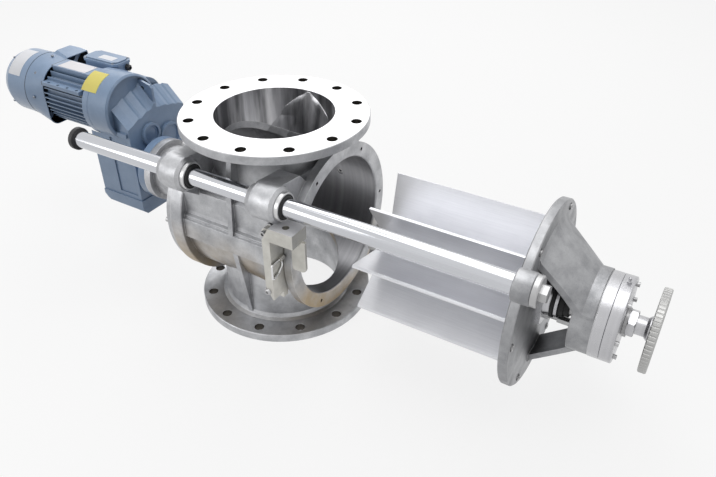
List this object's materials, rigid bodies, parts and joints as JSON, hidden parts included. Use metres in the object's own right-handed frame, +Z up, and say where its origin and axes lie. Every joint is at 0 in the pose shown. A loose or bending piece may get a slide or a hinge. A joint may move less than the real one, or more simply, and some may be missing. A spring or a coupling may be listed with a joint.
{
  "type": "rotary airlock valve",
  "caption": "Flanged rotary airlock valve with its end cover and vaned rotor drawn out on guide rods, toothed coupling, helical gear unit and finned motor.",
  "frame": {"origin": "centre of the outlet flange's lower face", "axes": "+X along the rotor axis towards the pull-out cover, +Z up through the inlet, +Y to the rear guide rod's side"},
  "size_m": [1.6168, 0.456, 0.46],
  "materials": {
    "casting": "fine bead blasted casting, machined on the flanges and faces",
    "machined_steel": "turned and ground",
    "shaft_steel": "ground",
    "rod_chrome": "polished hard chrome",
    "fastener_steel": "plain stainless",
    "bearing_steel": "ground",
    "drive_paint": "semi gloss blue grey enamel on cast aluminium",
    "black_rubber": "matt",
    "black_plastic": "matt",
    "plate_metal": "blank brushed plate",
    "tag_film": "blank satin film"
  },
  "bodies": {
    "housing": {"housing_body": "casting", "inlet_duct": "casting", "outlet_duct": "casting", "purge_plug": "fastener_steel", "guide_bushes": "machined_steel", "rod_wipers": "black_rubber", "lock_bracket": "machined_steel", "lock_bracket_screws": "fastener_steel", "drive_cover": "casting", "drive_cover_screws": "fastener_steel", "drive_bearings": "bearing_steel", "hollow_shaft_cap": "black_plastic", "output_flange": "drive_paint", "output_flange_screws": "fastener_steel", "gear_case": "drive_paint", "gear_bearing_caps": "drive_paint", "motor_flange": "drive_paint", "stator_frame": "drive_paint", "terminal_box": "drive_paint", "terminal_lid": "drive_paint", "cable_gland": "black_plastic", "fan_cowl": "drive_paint", "cowl_feet": "drive_paint", "rating_plate": "plate_metal", "motor_tag": "tag_film"},
    "carriage": {"cover_casting": "casting", "cover_seal": "black_rubber", "cover_screws": "fastener_steel", "gland_flange": "machined_steel", "gland_studs": "shaft_steel", "outboard_bearing": "bearing_steel", "bearing_cap_inner": "machined_steel", "bearing_cap_outer": "machined_steel", "bearing_cap_screws": "fastener_steel", "front_guide_rod": "rod_chrome", "rear_guide_rod": "rod_chrome", "rod_stop_caps": "black_plastic", "rod_nuts": "fastener_steel"},
    "rotor": {"rotor": "machined_steel", "rotor_shaft": "shaft_steel", "rotor_coupling_half": "shaft_steel", "shaft_seal_ring": "shaft_steel", "shaft_nut": "machined_steel", "shaft_collar": "machined_steel", "hand_disc": "machined_steel"},
    "drive": {"drive_shaft": "shaft_steel", "drive_coupling_half": "shaft_steel", "hollow_shaft": "shaft_steel"},
    "motor_rotor": {"motor_shaft": "shaft_steel", "motor_fan": "black_plastic"},
    "lock_clip": {"lock_clip": "shaft_steel"}
  },
  "joints": [
    {"name": "cover_slide", "type": "slide", "parent": "housing", "child": "carriage", "axis": [1, 0, 0], "range_m": [-0.43, 0.244]},
    {"name": "rotor_spin", "type": "hinge", "parent": "carriage", "child": "rotor", "pos_m": [0.43, 0, 0.23], "axis": [1, 0, 0], "continuous": true},
    {"name": "drive_spin", "type": "hinge", "parent": "housing", "child": "drive", "pos_m": [-0.3, 0, 0.23], "axis": [1, 0, 0], "continuous": true},
    {"name": "motor_spin", "type": "hinge", "parent": "housing", "child": "motor_rotor", "pos_m": [-0.6, 0, 0.371], "axis": [1, 0, 0], "continuous": true},
    {"name": "clip_slide", "type": "slide", "parent": "housing", "child": "lock_clip", "axis": [0, -1, 0], "range_m": [0, 0.05]}
  ],
  "couplings": [
    {"joint": "motor_spin", "follows": "drive_spin", "ratio": -54}
  ]
}
